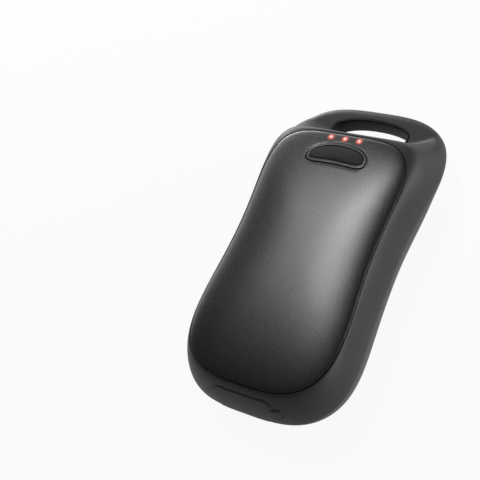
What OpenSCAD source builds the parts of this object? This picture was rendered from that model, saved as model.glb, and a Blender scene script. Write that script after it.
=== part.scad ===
// Pocket hand warmer: a rubber-covered waisted body with a carrying loop, a warm metal panel on each face,
// a kidney-shaped button, three indicator lights and a rubber port cover on the lower end.
// Millimetres. It lies on its rear face: +Z out of the front panel, +Y toward the loop, +X to the right.

/* [Body] */
// Overall length, loop included
body_length = 128; // [124:1:134]
// Widest width, across the shoulders
body_width = 68.5; // [68:0.5:76]
// Depth of the waist, as a share of the half width
waist_share = 0.19; // [0.15:0.002:0.21]
// How far the waist spreads along the sides
waist_spread = 41; // [36:0.5:44]
// Height of the front panel's edge over the middle plane
front_edge = 12.6; // [12.4:0.1:15]
// Height of the rear panel's edge under the middle plane
rear_edge = 12.6; // [12.4:0.1:15]
// How much the front edge climbs from the middle to the loop end
front_climb = 1.5; // [1:0.1:2]
// How much the front edge bows up toward both ends
front_bow = 0.9; // [0.4:0.1:1.2]
// Depth of the flat on the rear face, where it rests
rest_flat = 0.4; // [0.3:0.05:0.6]

/* [Panels] */
// Rubber border below the panel's lower edge
panel_low_border = 6.5; // [6:0.1:7]
// Border and loop above the panel's upper edge
panel_top_border = 22.6; // [20.4:0.1:23]
// Rubber border beside the panel, at its widest
panel_side_border = 5.4; // [5.2:0.1:6]
// Depth of the panel's own waist, as a share of its half width
panel_waist_share = 0.27; // [0.25:0.002:0.28]
// Crown of each panel over its edge
panel_crown = 2.4; // [2.2:0.1:3]
// Thickness of the pressed metal
panel_wall = 1; // [0.8:0.1:1.2]
// Depth of the panel's folded rim
panel_rim = 1.5; // [1.3:0.1:1.7]
// Gap between the panel's rim and the rubber
panel_gap = 0.15; // [0.1:0.01:0.2]

/* [Cover and frame] */
// Thickness of the moulded rubber cover
cover_wall = 2; // [1.8:0.1:2.1]
// Width of the ledge that carries each panel
ledge_width = 2.6; // [2.4:0.1:3]
// Thickness of the ledge
ledge_wall = 1.7; // [1.4:0.1:1.9]
// How far the frame's inner wall swells out behind the ledge
frame_swell = 1.2; // [0.8:0.1:1.4]
// Gap between moulded pieces that are bonded
bond_gap = 0.05; // [0.02:0.01:0.08]

/* [Loop] */
// Half thickness of the carrying loop
loop_half = 3.6; // [3.4:0.1:4.2]
// How far the loop lies behind the body's middle plane
loop_drop = 4.6; // [4:0.1:5]
// Roundness of the loop's outer edge
loop_round = 4; // [3.4:0.1:4.4]
// Bar of the loop beyond the finger hole
loop_bar = 6.1; // [6:0.1:7.4]
// Half length of the finger hole
hole_half = 15.4; // [14:0.2:17.6]
// Width of the finger hole at its middle
hole_width = 8.7; // [7.8:0.1:8.9]
// Wall of the hard ring round the finger hole
ring_wall = 1.1; // [0.9:0.1:1.3]

/* [Button] */
// Half length of the panel's button hole
button_half = 12.2; // [11:0.1:12.6]
// Width of the button hole
button_width = 10; // [9.6:0.1:10.4]
// Distance of the button's middle below the panel's upper edge
button_drop = 9.9; // [9.2:0.1:10.1]
// Width of the metal bezel's rim
bezel_rim = 1.1; // [0.9:0.1:1.3]
// Running gap round the button
button_gap = 0.15; // [0.1:0.01:0.2]
// How far the button travels
button_travel = 0.5; // [0.3:0.1:0.6]
// How far the bezel stands over the panel
bezel_proud = 0.3; // [0.2:0.05:0.4]

/* [Lights] */
// Distance between the indicator lights
light_pitch = 5.8; // [5:0.1:7]
// Diameter of each light pin
light_d = 1.2; // [1:0.1:1.3]
// Distance of the lights below the panel's upper edge
light_drop = 2.05; // [1.85:0.05:2.1]

/* [Battery] */
// Diameter of a cell
cell_d = 21.2; // [20.4:0.1:21.3]
// Length of a cell
cell_length = 70; // [68:0.5:70.5]
// Gap between the two cells
cell_gap = 0.4; // [0.2:0.05:0.6]
// Thickness of the battery holder's walls
holder_wall = 1.2; // [1:0.1:1.3]
// Thickness of the nickel strips
strip_wall = 0.15; // [0.1:0.01:0.2]

/* [Ports] */
// Height of the port row over the middle plane
port_height = 5; // [4.8:0.05:5.1]
// Length of the port cover
flap_length = 24.8; // [24.6:0.1:25.4]
// Height of the port cover
flap_height = 9.4; // [9:0.1:9.8]
// Gap round the port cover
flap_gap = 0.25; // [0.22:0.01:0.3]
// Side of the square pull tab
tab_side = 4.3; // [3.6:0.1:4.6]
// Thickness of a circuit board
board_wall = 1.2; // [1:0.1:1.4]

/* [Fasteners] */
// Thread diameter of the screws
screw_d = 2; // [1.8:0.05:2.1]
// Head diameter of the screws
screw_head_d = 3.6; // [3.4:0.1:3.8]
// Length of the screws under the head
screw_length = 4; // [3.6:0.1:4.4]

/* [Hidden] */
$fn = 48;

// Cuts run past what they cut by this much
overrun = 1;

// Small gap between hard pieces that are assembled by hand
slot_gap = 0.15;

// Steps round the outline for the skins, and for the flat inner layers
skin_steps = 80;
layer_steps = 40;

// Outline and seam curves: powers of the rounded ends, waist place and spread
half_length = body_length / 2;
waist_y = -half_length / 19;
waist_power = 3;
top_power = 3.44;
bottom_power = 3.26;
panel_bottom = -half_length + panel_low_border;
panel_top = half_length - panel_top_border;
panel_mid = (panel_top + panel_bottom) / 2;
panel_half = (panel_top - panel_bottom) / 2;
panel_spread = waist_spread * 1.31;
panel_top_power = 4.29;
panel_bottom_power = 3.03;
panel_taper_share = 0.021;

function rim_x(a, n) = cos(a) / pow(pow(abs(cos(a)), n) + pow(abs(sin(a)), n), 1 / n);
function rim_y(a, n) = sin(a) / pow(pow(abs(cos(a)), n) + pow(abs(sin(a)), n), 1 / n);
function pinch(y, share, spread, power) = 1 - share * exp(-pow(abs(y - waist_y) / spread, power));

// Outline of the body at the middle plane, x as a share of its unwaisted half width
function outline_y(a) = half_length * rim_y(a, a < 180 ? top_power : bottom_power);
function outline_share(a) =
    rim_x(a, a < 180 ? top_power : bottom_power) * pinch(outline_y(a), waist_share, waist_spread, waist_power);
full_half = body_width / 2 / max([for (a = [0:1:180]) outline_share(a)]);
function outline(a) = [full_half * outline_share(a), outline_y(a)];

// Seam between panel and rubber, seen from the front
function seam_power(a) = a < 180 ? panel_top_power : panel_bottom_power;
function seam_y(a) = panel_mid + panel_half * rim_y(a, seam_power(a));
function seam_share(a) =
    rim_x(a, seam_power(a)) * pinch(seam_y(a), panel_waist_share, panel_spread, 2)
    * (1 - panel_taper_share * rim_y(a, seam_power(a)));
panel_full_half = (body_width / 2 - panel_side_border) / max([for (a = [180:2:360]) seam_share(a)]);
function seam(a) = [panel_full_half * seam_share(a), seam_y(a)];

// A curve moved inward by a distance, along its own normal
function unit(v) = v / norm(v);
function inward(a, d) =
    let (t = unit(seam(a + 0.5) - seam(a - 0.5))) seam(a) + d * [-t[1], t[0]];

// Height of the seam: side 1 is the front, side -1 the rear
function edge_z(y, side) =
    side > 0 ? front_edge + front_climb * y / half_length + front_bow * pow(y / half_length, 2) : rear_edge;

// Loop and shoulder: the shoulder drops from the crest to the foot, and the drop fans out toward the sides
hole_low = half_length - loop_bar - hole_width;
hole_top = half_length - loop_bar;
foot_y = hole_low + 0.4 * ring_wall;
crest_set = 0.6;
crest_y = panel_top + crest_set;
shoulder_bow = 22;
round_power = 1.35;

function smooth(t) = let (c = max(0, min(1, t))) c * c * (3 - 2 * c);
function lerp(a, b, t) = a + (b - a) * t;

// Crest and foot at a place across the body; both move in with the depth d
function bow_share(x) = pow(2 * x / body_width, 4);
function crest_at(x, d) = crest_y - shoulder_bow * pow(bow_share(x), 2) - 0.3 * d;
function foot_at(x, d) = foot_y + shoulder_bow * bow_share(x) - d;

// Height of the skin at share g of the way from outline to seam, moved in by depth d
function skin_z(p, g, reach, side, d) =
    let (
        v = pow(1 - pow(1 - g, round_power), 1 / round_power),
        body = (edge_z(min(p[1], panel_top), side) - d) * v,
        q = min(1, g * reach / loop_round),
        loop = (loop_half - d) * sqrt(1 - (1 - q) * (1 - q)),
        crest = crest_at(p[0], d),
        w = smooth((p[1] - crest) / (foot_at(p[0], d) - crest))
    ) lerp(body, loop - side * loop_drop, w);
function skin_point(a, g, side, d) =
    let (
        s = seam(a), f0 = outline(a), f = f0 + d * unit(s - f0),
        p = lerp(f, s, g)
    ) [p[0], p[1], side * skin_z(p, g, norm(s - f), side, d)];

// Shares along the skin, in three zones, so that the drop behind the panel gets its own points
outer_edge_shares = [0, 0.12, 0.42];
outer_drop_shares = [0, 0.27, 0.54, 0.8];
outer_crest_shares = [0, 0.5, 1];
inner_edge_shares = [0, 0.3];
inner_drop_shares = [0, 0.5];
inner_crest_shares = [0, 1];
function zone_ends(a, d) =
    let (x = 0.8 * outline(a)[0], f = outline(a)[1] - d, h = max(f - seam(a)[1], ring_wall))
    [min(0.6, max(0.2, (f - foot_at(x, d)) / h)), min(0.95, max(0.6, (f - crest_at(x, d)) / h))];
function skin_run(a, side, d) =
    let (
        outer = d == 0,
        e = zone_ends(a, outer ? 0 : cover_wall),
        shares = [
            for (t = outer ? outer_edge_shares : inner_edge_shares) t * e[0],
            for (t = outer ? outer_drop_shares : inner_drop_shares) lerp(e[0], e[1], t),
            for (t = outer ? outer_crest_shares : inner_crest_shares) lerp(e[1], 1, t)
        ]
    ) [for (g = shares) skin_point(a, g, side, d)];
function flipped(list) = [for (i = [len(list) - 1:-1:0]) list[i]];
function tail(list) = [for (i = [1:len(list) - 1]) list[i]];

// From the front seam round the side to the rear seam, at depth d
function skin_girth(a, d) = [each flipped(skin_run(a, 1, d)), each tail(skin_run(a, -1, d))];

function angles(n) = [for (i = [0:n - 1]) 360 * i / n];

// A closed ring from one loop of points at each angle; crossed turns the diagonal of each face
module ring_of(loops, crossed = false) {
    n = len(loops);
    m = len(loops[0]);
    polyhedron(
        points = [for (l = loops) each l],
        faces = [
            for (i = [0:n - 1], j = [0:m - 1])
                let (p = i * m + j, q = i * m + (j + 1) % m, r = (i + 1) % n * m + j, s = (i + 1) % n * m + (j + 1) % m)
                each crossed ? [[p, r, q], [r, s, q]] : [[p, s, q], [p, r, s]]
        ]
    );
}

// A closed shell from rings stacked between two end points
module shell_of(first, rings, last) {
    n = len(rings[0]);
    m = len(rings);
    polyhedron(
        points = [first, for (r = rings) each r, last],
        faces = [
            for (i = [0:n - 1]) [0, 1 + (i + 1) % n, 1 + i],
            for (k = [0:m - 2], i = [0:n - 1])
                let (p = 1 + k * n + i, q = 1 + k * n + (i + 1) % n, r = p + n, s = q + n)
                each [[p, q, s], [p, s, r]],
            for (i = [0:n - 1]) [1 + m * n, 1 + (m - 1) * n + i, 1 + (m - 1) * n + (i + 1) % n]
        ]
    );
}

// The front face looks up; the rear face is the same drawing turned over
module on_side(side) {
    if (side > 0) children();
    else mirror([0, 0, 1]) children();
}

// Finger hole, grown by a distance: straight on the body side, bowed on the loop side
hole_bow = hole_width / 4;
hole_corner_share = 0.5;
function bent(v, power) = sign(v) * pow(abs(v), power);
function hole_point(t, grow) =
    let (
        x = (hole_half + grow) * bent(cos(t), hole_corner_share),
        low = hole_low - grow,
        high = hole_top + grow - hole_bow * pow(x / hole_half, 2)
    ) [x, lerp(low, high, (1 + bent(sin(t), hole_corner_share)) / 2)];
module hole_prism(grow, half_height) {
    translate([0, 0, -half_height])
        linear_extrude(2 * half_height)
            polygon([for (t = [1.5:3:358.5]) hole_point(t, grow)]);
}

// Port cover: a rounded bar in x and z, on the curved lower end
flap_mid = 0.3;
flap_corner = 4;
low_half = full_half * pinch(-half_length, waist_share, waist_spread, waist_power);
low_seam_half = panel_full_half * pinch(panel_bottom, panel_waist_share, panel_spread, 2) * (1 + panel_taper_share);
function low_y(x, z, d) =
    let (
        f = -half_length * pow(1 - pow(abs(x) / low_half, bottom_power), 1 / bottom_power),
        s = panel_mid - panel_half * pow(1 - pow(abs(x) / low_seam_half, panel_bottom_power), 1 / panel_bottom_power),
        g = 1 - pow(1 - pow(abs(z) / edge_z(panel_bottom, 1), round_power), 1 / round_power)
    ) lerp(f, s, g) + d;
function bar_point(t, l, h, r, mid) = [
    mid + (l - r) * sign(cos(t)) + r * cos(t),
    port_height + (h - r) * sign(sin(t)) + r * sin(t)
];
function flap_ring(grow, t) = bar_point(t, flap_length / 2 + grow, flap_height / 2 + grow, flap_corner + grow, flap_mid);
module from_below(depth) {
    translate([0, depth - half_length - overrun, 0])
        rotate([90, 0, 0])
            linear_extrude(depth)
                children();
}

// A curved plate on the lower end, between two depths; its inner rim is drawn in by a draft
module low_plate(l, h, r, mid, outer, inner, draft) {
    turn = [for (t = [355:-10:5]) t];
    function ring(k, d, less) = [
        for (t = turn)
            let (p = bar_point(t, l - less, h - less, r - less, mid), x = lerp(mid, p[0], k), z = lerp(port_height, p[1], k))
            [x, low_y(x, z, d), z]
    ];
    shell_of(
        [mid, low_y(mid, port_height, inner), port_height],
        [
            ring(1 / 2, inner, draft), ring(3 / 4, inner, draft), ring(1, inner, draft),
            ring(1, outer, 0), ring(3 / 4, outer, 0), ring(1 / 2, outer, 0), ring(1 / 4, outer, 0)
        ],
        [mid, low_y(mid, port_height, outer), port_height]
    );
}

// Ports: sizes of the two receptacles and the board that they stand on
core_depth = cover_wall + bond_gap;
port_set = 3;
port_mouth = -half_length + core_depth + port_set;
board_set = 3.2;
usb_a_size = [13.1, 14, 5.7];
usb_c_size = [8.94, 7.35, 3.26];
shell_wall = 0.3;
usb_a_mid = flap_mid - flap_length / 2 + usb_a_size[0] / 2 + 3 * flap_gap;
port_space = 1.5;
usb_c_mid = usb_a_mid + usb_a_size[0] / 2 + port_space + usb_c_size[0] / 2;
board_top = port_height - usb_a_size[2] / 2 - bond_gap;
usb_c_height = board_top + bond_gap + usb_c_size[2] / 2;
board_low = port_mouth + board_set;
cell_set = 24.4;
cell_low = -half_length + cell_set;
cell_top = cell_low + cell_length;
cell_x = (cell_d + cell_gap) / 2;

// Layers under each panel
crown_power = 2.85;
crown_root = 1.4;
function crown(r, height) = height * pow(max(0, 1 - pow(r, crown_power)), 1 / crown_root);
function plate_point(a, r, inset, drop, height, side) =
    let (s = inward(a, inset), p = lerp([0, panel_mid], s, r))
    [p[0], p[1], edge_z(p[1], side) - drop + crown(r, height)];
function plate_ring(n, r, inset, drop, height, side) =
    [for (a = angles(n)) plate_point(a, r, inset, drop, height, side)];
function plate_pole(drop, height, side) = [0, panel_mid, edge_z(panel_mid, side) - drop + height];
outer_crown_shares = [0.3, 0.55, 0.75, 0.87, 0.94, 0.98, 1];
inner_crown_shares = [1, 0.93, 0.75, 0.45];
rest_z = -(rear_edge + panel_crown - rest_flat);

module panel_shell(side) {
    shell_of(
        plate_pole(0, panel_crown, side),
        [
            for (r = outer_crown_shares) plate_ring(skin_steps, r, panel_gap, 0, panel_crown, side),
            plate_ring(skin_steps, 1, panel_gap, panel_rim, 0, side),
            plate_ring(skin_steps, 1, panel_gap + panel_wall, panel_rim, 0, side),
            for (r = inner_crown_shares)
                plate_ring(skin_steps, r, panel_gap + panel_wall, 0, panel_crown - panel_wall, side)
        ],
        plate_pole(0, panel_crown - panel_wall, side)
    );
}

// Thin layer under the crown, between two depths, as far out as a share of the panel
layer_reach_share = 0.66;
module under_layer(side, top, bottom) {
    on_side(side)
        shell_of(
            plate_pole(top, panel_crown, side),
            [
                for (r = [1 / 2, 3 / 4, 1]) plate_ring(layer_steps, r * layer_reach_share, 0, top, panel_crown, side),
                for (r = [1, 3 / 4, 1 / 2]) plate_ring(layer_steps, r * layer_reach_share, 0, bottom, panel_crown, side)
            ],
            plate_pole(bottom, panel_crown, side)
        );
}

// Kidney outline of the button hole, drawn in by a distance
button_y = panel_top - button_drop;
button_bow = button_width / 4.6;
kidney_power = 2.8;
function kidney_point(t, less) =
    let (
        a = button_half - less,
        h = (button_width - button_bow / 3) / 2 - less,
        x = a * rim_x(t, kidney_power)
    ) [x, button_y - button_bow / 2 + button_bow * (1 - pow(x / button_half, 2)) + h * rim_y(t, kidney_power)];
module kidney(less) {
    polygon([for (t = [0:6:354]) kidney_point(t, less)]);
}
module kidney_prism(less, low, high) {
    translate([0, 0, low])
        linear_extrude(high - low)
            kidney(less);
}

// Heights under the button, from the panel down to its board
function panel_z(x, y, side = 1) =
    let (
        u = (y - panel_mid) / panel_half,
        m = u > 0 ? panel_top_power : panel_bottom_power,
        w = panel_full_half * pinch(y, panel_waist_share, panel_spread, 2) * (1 - panel_taper_share * u),
        r = min(1, pow(pow(abs(x) / w, m) + pow(abs(u), m), 1 / m))
    ) edge_z(y, side) + crown(r, panel_crown);
switch_y = button_y + button_bow / 2;
bezel_top = panel_z(0, button_y) + bezel_proud;
button_slope = atan((panel_z(0, button_y + button_width / 2) - panel_z(0, button_y - button_width / 2)) / button_width);
flange_width = 1;
flange_wall = 0.9;
flange_top = panel_z(0, button_y + button_width / 2 + flange_width) - panel_wall - 3 * panel_gap;
flange_low = flange_top - flange_wall;
lip_wall = 0.6;
button_low = flange_low - bond_gap - lip_wall;
plunger_d = 3.4;
plunger_height = 1;
switch_side = 6;
switch_height = 3;
plunger_top = button_low + 2 * slot_gap;
switch_top = plunger_top - plunger_height;
button_board_top = switch_top - switch_height;
light_y = panel_top - light_drop;
light_top = panel_z(0, light_y) + bezel_proud / 3;
light_xs = [-light_pitch, 0, light_pitch];

// Everything under a plane that leans as the panel does round the button, at a height over the button's middle
module under_lean(top) {
    intersection() {
        children();
        translate([0, button_y, top])
            rotate([button_slope, 0, 0])
                translate([-body_width, -body_length / 2, -2 * front_edge])
                    cube([2 * body_width, body_length, 2 * front_edge]);
    }
}

module outer_cover() {
    color([0.16, 0.17, 0.18])
        difference() {
            ring_of([for (a = angles(skin_steps)) [each skin_girth(a, 0), each flipped(skin_girth(a, cover_wall))]]);
            hole_prism(0, front_edge);
            translate([0, 0, -loop_drop])
                hole_prism(ring_wall + bond_gap, loop_half + bond_gap);
            from_below(panel_low_border + overrun)
                polygon([for (t = [5:10:355]) flap_ring(flap_gap, t)]);
        }
}

// Hard frame under the rubber: a ledge for each panel, the loop's core and the lugs that hold the battery holder
lug_size = [5.2, 5.6, 4];
lug_set = [5, 9];
lug_ys = [cell_low + lug_set[0], cell_top - lug_set[1]];
lug_x = cell_d + cell_gap / 2 + holder_wall + lug_size[0] / 2 + slot_gap;
lug_top = -1.5;
function seam_x(y) =
    let (u = (y - panel_mid) / panel_half, m = u > 0 ? panel_top_power : panel_bottom_power)
    panel_full_half * pinch(y, panel_waist_share, panel_spread, 2) * (1 - panel_taper_share * u)
    * pow(1 - pow(abs(u), m), 1 / m);
// Inner wall of the frame: out from the seam as a share of ledge or swell, and up as a share of the ledge's height
wall_shares = [[1, 1], [-0.1, 1], [-0.8, 0.75], [-1, 0]];
module core_frame() {
    function wall_z(a, side) = edge_z(inward(a, ledge_width)[1], side) - core_depth;
    function wall_point(a, side, w) =
        let (p = inward(a, w[0] > 0 ? w[0] * ledge_width : w[0] * frame_swell))
        [p[0], p[1], side * w[1] * (wall_z(a, side) - ledge_wall)];
    function ledge_point(a, side) = let (p = inward(a, ledge_width)) [p[0], p[1], side * wall_z(a, side)];
    color([0.1, 0.1, 0.11])
        difference() {
            union() {
                ring_of([
                    for (a = angles(skin_steps)) [
                        ledge_point(a, 1),
                        each skin_girth(a, core_depth),
                        ledge_point(a, -1),
                        for (w = wall_shares) wall_point(a, -1, w),
                        for (w = flipped(wall_shares)) if (w[1] > 0) wall_point(a, 1, w)
                    ]
                ], crossed = true);
                for (s = [-1, 1], y = lug_ys)
                    translate([s > 0 ? lug_x - lug_size[0] / 2 : -seam_x(y) - frame_swell, y - lug_size[1] / 2, lug_top - lug_size[2]])
                        cube([seam_x(y) + frame_swell - lug_x + lug_size[0] / 2, lug_size[1], lug_size[2]]);
            }
            hole_prism(ring_wall + bond_gap, front_edge);
            for (s = [-1, 1], y = lug_ys)
                translate([s * lug_x, y, lug_top - screw_length])
                    cylinder(d = screw_d + bond_gap, h = screw_length + overrun);
            translate([usb_a_mid - usb_a_size[0] / 2 - slot_gap, -half_length, port_height - usb_a_size[2] / 2 - slot_gap])
                cube([usb_a_size[0] + 2 * slot_gap, 2 * panel_low_border, usb_a_size[2] + 2 * slot_gap]);
            translate([usb_c_mid - usb_c_size[0] / 2 - slot_gap, -half_length, usb_c_height - usb_c_size[2] / 2 - slot_gap])
                cube([usb_c_size[0] + 2 * slot_gap, 2 * panel_low_border, usb_c_size[2] + 2 * slot_gap]);
            anchor_plate(bond_gap);
            translate([-light_pitch - 2 * light_d, light_y - light_d, 0])
                cube([2 * light_pitch + 4 * light_d, 2 * light_d, 2 * front_edge]);
        }
}

// Hard ring that lines the finger hole, held in the frame and the rubber
module hole_ring() {
    color([0.1, 0.1, 0.11])
        difference() {
            translate([0, 0, -loop_drop])
                hole_prism(ring_wall, loop_half);
            hole_prism(0, 2 * front_edge);
        }
}

module front_panel() {
    color([0.2, 0.2, 0.21])
        difference() {
            panel_shell(1);
            kidney_prism(0, 0, 2 * front_edge);
            for (x = light_xs)
                translate([x, light_y, 0])
                    cylinder(d = light_d + bond_gap, h = 2 * front_edge);
        }
}
module rear_panel() {
    color([0.2, 0.2, 0.21])
        difference() {
            on_side(-1) panel_shell(-1);
            translate([-body_width, -body_length, rest_z - 2 * rear_edge])
                cube([2 * body_width, 2 * body_length, 2 * rear_edge]);
        }
}

// Silicone ring between the panel's rim and the ledge
module seal(side) {
    top = panel_rim + bond_gap;
    bottom = core_depth - bond_gap;
    function corner(a, inset, drop) = plate_point(a, 1, inset, drop, 0, side);
    color([0.35, 0.36, 0.38])
        on_side(side)
            ring_of([
                for (a = angles(skin_steps))
                    [
                        corner(a, panel_gap + bond_gap, top), corner(a, panel_gap + bond_gap, bottom),
                        corner(a, panel_gap + panel_wall, bottom), corner(a, panel_gap + panel_wall, top)
                    ]
            ]);
}
module front_seal() { seal(1); }
module rear_seal() { seal(-1); }

// Plastic ring bonded inside the panel, with hooks that catch under the frame's ledge
carrier_width = 1.7;
carrier_tail = core_depth + ledge_wall;
hook_angles = [8, -18, 172, 198, 38, 142];
hook_size = [3.4, 2, 0.9];
module carrier(side) {
    rim = panel_gap + panel_wall + bond_gap;
    step = ledge_width + slot_gap;
    function corner(a, inset, drop) = plate_point(a, 1, inset, drop, 0, side);
    color([0.55, 0.56, 0.58])
        on_side(side)
            union() {
                ring_of([
                    for (a = angles(layer_steps))
                        [
                            corner(a, rim + slot_gap, slot_gap), corner(a, rim + slot_gap, core_depth - bond_gap),
                            corner(a, step + slot_gap, core_depth - bond_gap), corner(a, step + slot_gap, carrier_tail),
                            corner(a, step + carrier_width, carrier_tail), corner(a, step + carrier_width, slot_gap)
                        ]
                ]);
                for (a = hook_angles)
                    let (
                        p = inward(a, step + carrier_width), q = inward(a, 0),
                        z = edge_z(p[1], side) - carrier_tail
                    )
                        translate([p[0], p[1], z - hook_size[2] - slot_gap])
                            rotate([0, 0, atan2(q[1] - p[1], q[0] - p[0])])
                                union() {
                                    translate([0, -hook_size[0] / 2, 0])
                                        cube([carrier_width + hook_size[1], hook_size[0], hook_size[2]]);
                                    translate([carrier_width / 8, -hook_size[0] / 2, 0])
                                        cube([carrier_width / 2, hook_size[0], 2 * hook_size[2]]);
                                }
            }
}
button_post_x = button_half + flange_width + screw_head_d * 2 / 3;
button_post_y = button_y + button_width / 3;
module front_carrier() {
    color([0.55, 0.56, 0.58])
        difference() {
            union() {
                difference() {
                    carrier(1);
                    translate([-button_half - flange_width - 2 * slot_gap, button_y - button_width, 0])
                        cube([2 * (button_half + flange_width + 2 * slot_gap), 3 * button_width, 2 * front_edge]);
                }
                for (s = [-1, 1])
                    translate([s * button_post_x, button_post_y, button_board_top + bond_gap])
                        cylinder(d = 2 * screw_d, h = front_edge - core_depth - button_board_top);
            }
            for (s = [-1, 1])
                translate([s * button_post_x, button_post_y, button_board_top - overrun])
                    cylinder(d = screw_d + bond_gap, h = screw_length - board_wall + overrun + 2 * bond_gap);
        }
}
module rear_carrier() { carrier(-1); }

// Heating film on the panel's inner face, with insulation under it
heater_wall = 0.3;
heater_top = panel_wall + bond_gap;
insulation_wall = 1;
insulation_top = heater_top + heater_wall + bond_gap;
module front_heater() { color([0.75, 0.45, 0.15]) under_layer(1, heater_top, heater_top + heater_wall); }
module rear_heater() { color([0.75, 0.45, 0.15]) under_layer(-1, heater_top, heater_top + heater_wall); }
module front_insulation() { color([0.85, 0.85, 0.82]) under_layer(1, insulation_top, insulation_top + insulation_wall); }
module rear_insulation() { color([0.85, 0.85, 0.82]) under_layer(-1, insulation_top, insulation_top + insulation_wall); }

// Metal bezel in the panel's button hole: a rim through the hole and a flange bonded under the panel
module button_bezel() {
    color([0.24, 0.24, 0.25])
        difference() {
            union() {
                under_lean(bezel_top) kidney_prism(panel_gap, flange_low, bezel_top + bezel_rim);
                kidney_prism(-flange_width, flange_low, flange_top);
            }
            kidney_prism(panel_gap + bezel_rim, 0, 2 * front_edge);
        }
}
module bezel_gasket() {
    color([0.35, 0.36, 0.38])
        difference() {
            kidney_prism(-flange_width, flange_top + bond_gap, flange_top + 2 * panel_gap);
            kidney_prism(bond_gap, 0, 2 * front_edge);
        }
}
button_less = panel_gap + bezel_rim + button_gap;
button_skin = 1.1;
module power_button() {
    color([0.09, 0.09, 0.1])
        union() {
            difference() {
                union() {
                    under_lean(bezel_top - bond_gap) kidney_prism(button_less, button_low, bezel_top + bezel_rim);
                    kidney_prism(button_less - lip_wall, button_low, button_low + lip_wall);
                }
                under_lean(bezel_top - button_skin) kidney_prism(button_less + button_skin, button_low - overrun, bezel_top);
            }
            translate([0, switch_y, plunger_top + bond_gap])
                cylinder(d = plunger_d + 2 * bond_gap, h = bezel_top - button_skin / 2 - plunger_top);
        }
}
module switch_plunger() {
    color("ivory")
        translate([0, switch_y, switch_top - button_travel])
            cylinder(d = plunger_d, h = plunger_height + button_travel);
}
module switch_body() {
    color([0.2, 0.2, 0.2])
        difference() {
            translate([-switch_side / 2, switch_y - switch_side / 2, button_board_top + bond_gap])
                cube([switch_side, switch_side, switch_height - bond_gap]);
            translate([0, switch_y, switch_top - 2.4 * button_travel])
                cylinder(d = plunger_d + 2 * bond_gap, h = switch_height);
        }
}
button_board_low = button_y;
button_board_high = light_y + light_d * 0.6;
module button_board() {
    color([0.05, 0.3, 0.15])
        difference() {
            translate([-button_post_x - screw_head_d / 2, button_board_low, button_board_top - board_wall])
                cube([2 * button_post_x + screw_head_d, button_board_high - button_board_low, board_wall]);
            for (s = [-1, 1])
                translate([s * button_post_x, button_post_y, button_board_top - 2 * board_wall])
                    cylinder(d = screw_d + 2 * slot_gap, h = 3 * board_wall);
        }
}

// Clear guide: three pins on a bar, over three lamps on the board
lamp_size = [1.6, 0.8, 0.6];
guide_bar = 1;
guide_low = button_board_top + lamp_size[2] + bond_gap;
module light_guide() {
    color([0.9, 0.9, 0.9])
        union() {
            translate([-light_pitch - light_d, light_y - light_d / 2, guide_low])
                cube([2 * light_pitch + 2 * light_d, light_d, guide_bar]);
            for (x = light_xs)
                translate([x, light_y, guide_low])
                    cylinder(d = light_d, h = light_top - guide_low);
        }
}
module indicator_lights() {
    color([1, 0.3, 0.15])
        for (x = light_xs)
            translate([x - lamp_size[0] / 2, light_y - lamp_size[1] / 2, button_board_top])
                cube(lamp_size);
}

// Two cells side by side, their caps toward the loop
cap_d = 8;
cap_height = 0.6;
module cell(s) {
    color([0.2, 0.35, 0.6])
        translate([s * cell_x, cell_low, 0])
            rotate([-90, 0, 0])
                union() {
                    cylinder(d = cell_d, h = cell_length - cap_height);
                    cylinder(d = cap_d, h = cell_length);
                }
}
module left_cell() { cell(-1); }
module right_cell() { cell(1); }

strip_width = 6;
module cell_strips() {
    color("silver")
        for (y = [cell_low - strip_wall - bond_gap, cell_top + bond_gap])
            translate([-cell_x - cap_d / 2, y, -strip_width / 2])
                cube([2 * cell_x + cap_d, strip_wall, strip_width]);
}

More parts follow.
